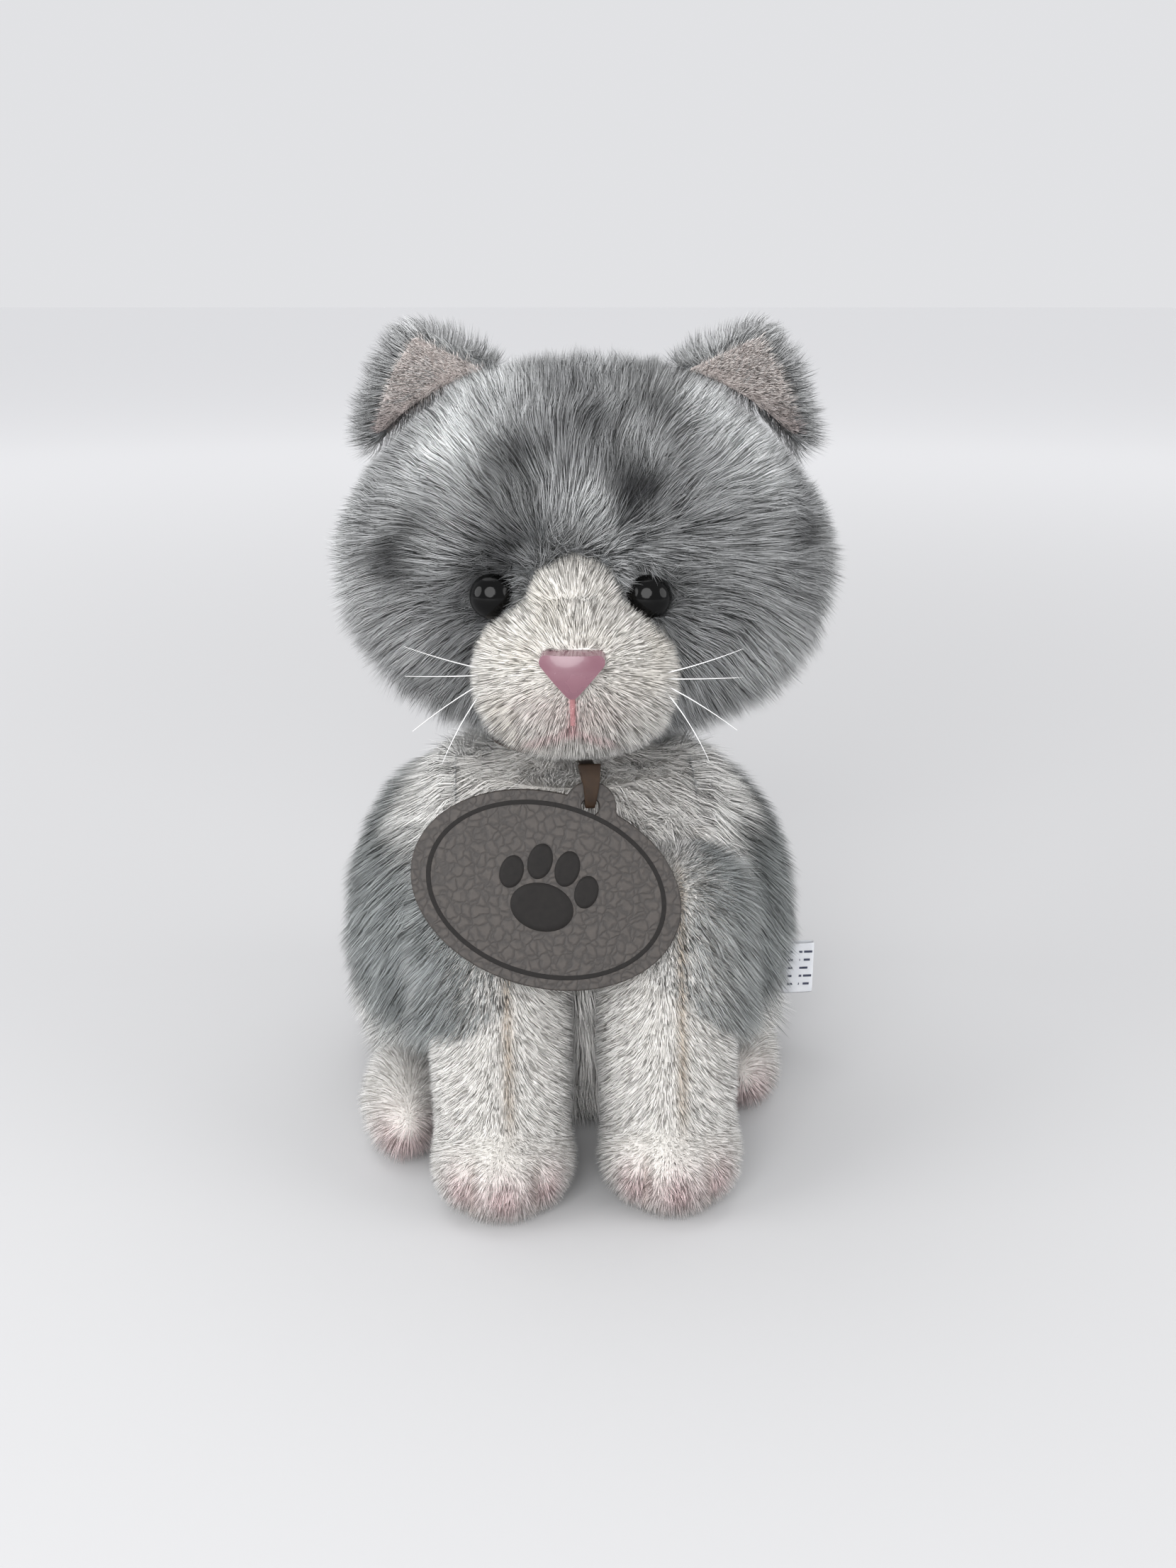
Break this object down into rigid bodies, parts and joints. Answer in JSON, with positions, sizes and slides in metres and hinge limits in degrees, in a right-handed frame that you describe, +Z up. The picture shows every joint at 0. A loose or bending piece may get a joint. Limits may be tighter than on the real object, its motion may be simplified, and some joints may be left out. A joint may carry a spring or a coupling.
{
  "type": "plush cat",
  "caption": "Seated plush cat in grey tabby and white pile, with glossy eyes, a moulded nose, whiskers and an oval swing tag on a ribbon.",
  "frame": {"origin": "on the flat seat, under the middle of the body", "axes": "+Z up, the cat looks along -Y, its left side is +X"},
  "size_m": [0.1093, 0.1701, 0.1745],
  "materials": {
    "white_plush": "soft pile",
    "ear_lining_plush": "short pile",
    "grey_plush": "long pile",
    "polyester_fill": "loose fibre",
    "pellets": "matt",
    "pouch_cloth": "plain weave",
    "eye_plastic": "gloss",
    "nose_plastic": "satin gloss",
    "washer_plastic": "matt",
    "whisker_nylon": "gloss",
    "pink_thread": "thread",
    "white_thread": "thread",
    "brown_ribbon": "satin",
    "embossed_card": "embossed grain",
    "label_satin": "satin"
  },
  "bodies": {
    "torso": {"seat_panel": "white_plush", "bib_panel": "white_plush", "left_flank_panel": "grey_plush", "right_flank_panel": "grey_plush", "torso_stuffing": "polyester_fill", "bean_pouch": "pouch_cloth", "bean_fill": "pellets", "left_hind_foot_skin": "white_plush", "left_hind_foot_stuffing": "polyester_fill", "right_hind_foot_skin": "white_plush", "right_hind_foot_stuffing": "polyester_fill", "neck_ribbon": "brown_ribbon"},
    "neck": {"neck_stuffing": "polyester_fill", "neck_seam_thread": "white_thread"},
    "head": {"forehead_gusset": "grey_plush", "left_cheek_panel": "grey_plush", "right_cheek_panel": "grey_plush", "head_back_panel": "grey_plush", "muzzle_panel": "white_plush", "head_stuffing": "polyester_fill", "muzzle_stuffing": "polyester_fill", "left_eye": "eye_plastic", "right_eye": "eye_plastic", "left_eye_washer": "washer_plastic", "right_eye_washer": "washer_plastic", "nose": "nose_plastic", "nose_washer": "washer_plastic", "left_whiskers": "whisker_nylon", "right_whiskers": "whisker_nylon", "mouth_stitch": "pink_thread"},
    "left_ear": {"left_ear_back": "grey_plush", "left_ear_lining": "ear_lining_plush"},
    "right_ear": {"right_ear_back": "grey_plush", "right_ear_lining": "ear_lining_plush"},
    "left_foreleg": {"left_foreleg_skin": "white_plush", "left_foreleg_stuffing": "polyester_fill"},
    "right_foreleg": {"right_foreleg_skin": "white_plush", "right_foreleg_stuffing": "polyester_fill"},
    "tail": {"tail_skin": "grey_plush", "tail_stuffing": "polyester_fill"},
    "ribbon_fold": {"tag_ribbon": "brown_ribbon"},
    "tag": {"swing_tag": "embossed_card"},
    "label": {"care_label": "label_satin"}
  },
  "joints": [
    {"name": "head_turn", "type": "hinge", "parent": "torso", "child": "neck", "pos_m": [0, -0.006, 0.088], "axis": [0, 0, 1], "range_deg": [-15, 15], "stiffness_Nm_per_rad": 0.12},
    {"name": "head_nod", "type": "hinge", "parent": "neck", "child": "head", "pos_m": [0, -0.006, 0.088], "axis": [1, 0, 0], "range_deg": [-12, 1.5], "stiffness_Nm_per_rad": 0.6},
    {"name": "left_ear_fold", "type": "hinge", "parent": "head", "child": "left_ear", "pos_m": [0.03634, -0.00648, 0.1495], "axis": [0.859, -0.0903, -0.5039], "range_deg": [-12, 12], "stiffness_Nm_per_rad": 0.01},
    {"name": "right_ear_fold", "type": "hinge", "parent": "head", "child": "right_ear", "pos_m": [-0.0293, 0.00042, 0.1495], "axis": [-0.859, 0.0903, -0.5039], "range_deg": [-12, 12], "stiffness_Nm_per_rad": 0.01},
    {"name": "left_foreleg_swing", "type": "hinge", "parent": "torso", "child": "left_foreleg", "pos_m": [0.017, -0.042, 0.055], "axis": [-1, 0, 0], "range_deg": [-3, 12], "stiffness_Nm_per_rad": 0.15},
    {"name": "right_foreleg_swing", "type": "hinge", "parent": "torso", "child": "right_foreleg", "pos_m": [-0.017, -0.042, 0.055], "axis": [-1, 0, 0], "range_deg": [-3, 12], "stiffness_Nm_per_rad": 0.15},
    {"name": "tail_swish", "type": "hinge", "parent": "torso", "child": "tail", "pos_m": [0, 0.051, 0.0085], "axis": [0, 0, 1], "range_deg": [-25, 25], "stiffness_Nm_per_rad": 0.02},
    {"name": "tag_lift", "type": "hinge", "parent": "torso", "child": "ribbon_fold", "pos_m": [0.001, -0.04862, 0.0882], "axis": [-1, 0, 0], "range_deg": [0, 45]},
    {"name": "tag_spin", "type": "hinge", "parent": "ribbon_fold", "child": "tag", "pos_m": [0.001, -0.051, 0.0813], "axis": [0, -0.9455, 0.3256], "range_deg": [-15, 25]},
    {"name": "label_flap", "type": "hinge", "parent": "torso", "child": "label", "pos_m": [0.0509, 0.0041, 0.0205], "axis": [0, 0, 1], "range_deg": [-20, 20], "stiffness_Nm_per_rad": 0.001}
  ]
}
